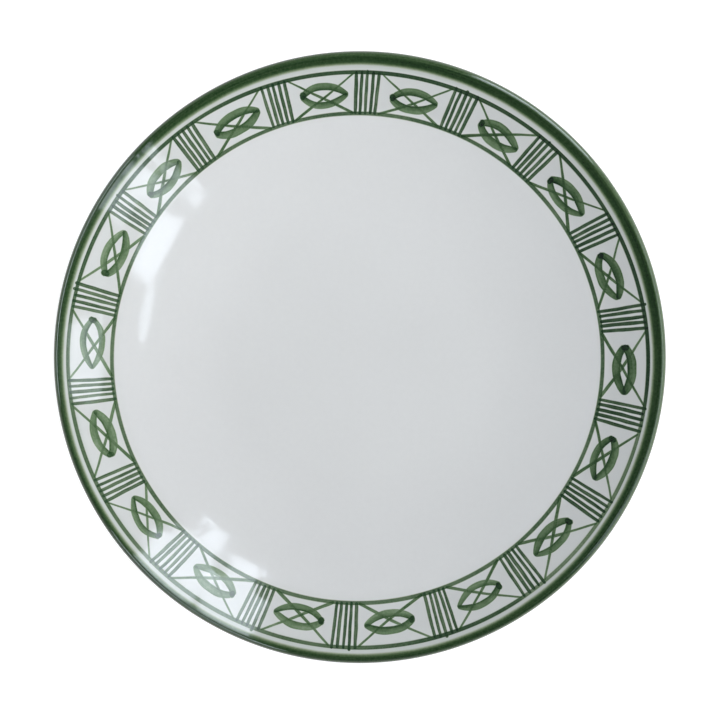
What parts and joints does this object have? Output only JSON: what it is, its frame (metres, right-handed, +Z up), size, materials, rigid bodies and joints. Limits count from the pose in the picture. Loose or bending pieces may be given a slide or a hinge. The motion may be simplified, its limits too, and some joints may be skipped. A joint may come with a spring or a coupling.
{
  "type": "dinner plate",
  "caption": "Round china dinner plate with a flat well, a wall that curves up to a rounded lip and a turned foot ring, white glazed with a hand-painted green border.",
  "frame": {"origin": "centre of the foot ring's standing edge, on the surface that the plate stands on", "axes": "+Z up along the plate's axis, out of the well; +Y and +X are the up and right of the painted border seen from above, with the first group of bars about 2 degrees clockwise of +Y"},
  "size_m": [0.27, 0.27, 0.0246],
  "materials": {
    "bare_clay": "fired, unglazed, fine matt grain",
    "white_glaze": "smooth, glossy, cool white",
    "rim_green": "glossy dark green, streaked by the brush",
    "line_green": "glossy dark green brush lines",
    "wash_green": "glossy, thin green brush strokes, darker where the colour pooled"
  },
  "bodies": {
    "root": {"plate_body": "bare_clay", "foot_ring": "bare_clay", "glaze_coat": "white_glaze", "foot_recess_glaze": "white_glaze", "rim_band": "rim_green", "border_lines_and_bars": "line_green", "almond_motif_01": "wash_green", "almond_motif_02": "wash_green", "almond_motif_03": "wash_green", "almond_motif_04": "wash_green", "almond_motif_05": "wash_green", "almond_motif_06": "wash_green", "almond_motif_07": "wash_green", "almond_motif_08": "wash_green", "almond_motif_09": "wash_green", "almond_motif_10": "wash_green", "almond_motif_11": "wash_green", "almond_motif_12": "wash_green", "almond_motif_13": "wash_green", "almond_motif_14": "wash_green", "almond_motif_15": "wash_green", "almond_motif_16": "wash_green", "almond_motif_17": "wash_green", "almond_motif_18": "wash_green"}
  },
  "joints": []
}
